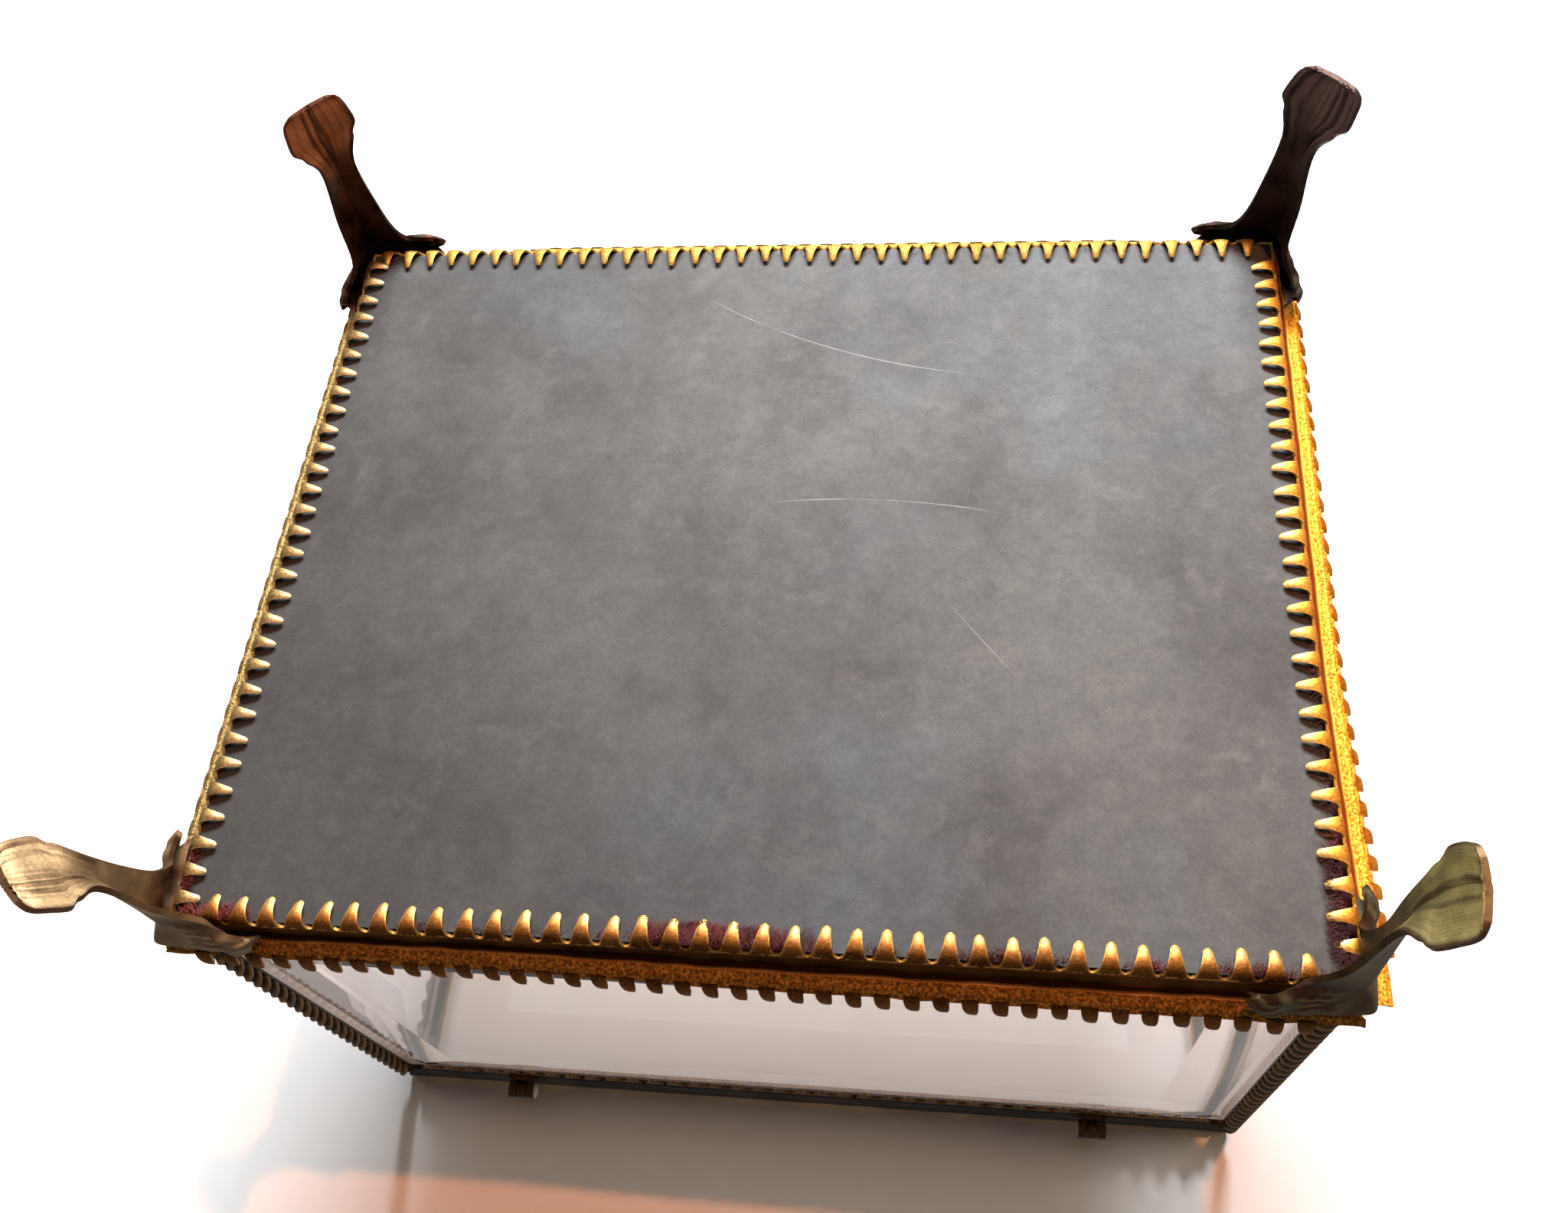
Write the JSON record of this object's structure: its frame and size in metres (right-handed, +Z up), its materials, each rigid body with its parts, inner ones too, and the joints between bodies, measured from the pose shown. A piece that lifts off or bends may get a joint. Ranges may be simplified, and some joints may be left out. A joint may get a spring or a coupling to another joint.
{
  "type": "glass casket box",
  "caption": "Bevelled glass casket on leaf feet, with gilt claw strips, twisted corner posts, a velvet floor and a rear-hinged glass lid.",
  "frame": {"origin": "centre of the footprint, at floor level", "axes": "+Z up, front at -Y, hinges at +Y, +X to the right seen from the front"},
  "size_m": [0.1446, 0.1173, 0.111],
  "materials": {
    "zinc": "dull cloudy sheet",
    "velvet": "velvet pile",
    "gilt": "worn gilding",
    "old_brass": "dark tarnished brass",
    "glass": "polished, bevelled"
  },
  "bodies": {
    "case": {"base_plate": "zinc", "velvet_floor": "velvet", "base_strip_front": "gilt", "base_strip_rear": "gilt", "base_strip_left": "gilt", "base_strip_right": "gilt", "pane_front": "glass", "pane_rear": "glass", "pane_left": "glass", "pane_right": "glass", "post_front_left": "old_brass", "post_front_right": "old_brass", "post_rear_left": "old_brass", "post_rear_right": "old_brass", "rim_front": "gilt", "rim_rear": "gilt", "rim_left": "gilt", "rim_right": "gilt", "foot_front_left": "old_brass", "foot_front_right": "old_brass", "foot_rear_left": "old_brass", "foot_rear_right": "old_brass", "hinge_ears_left": "old_brass", "hinge_ears_right": "old_brass", "hinge_pin_left": "old_brass", "hinge_pin_right": "old_brass"},
    "lid": {"lid_glass": "glass", "lid_frame_front": "gilt", "lid_frame_rear": "gilt", "lid_frame_left": "gilt", "lid_frame_right": "gilt", "lid_knuckle_left": "old_brass", "lid_knuckle_right": "old_brass"}
  },
  "joints": [
    {"name": "lid_hinge", "type": "hinge", "parent": "case", "child": "lid", "pos_m": [0, 0.0542, 0.10625], "axis": [-1, 0, 0], "range_deg": [0, 105]}
  ]
}
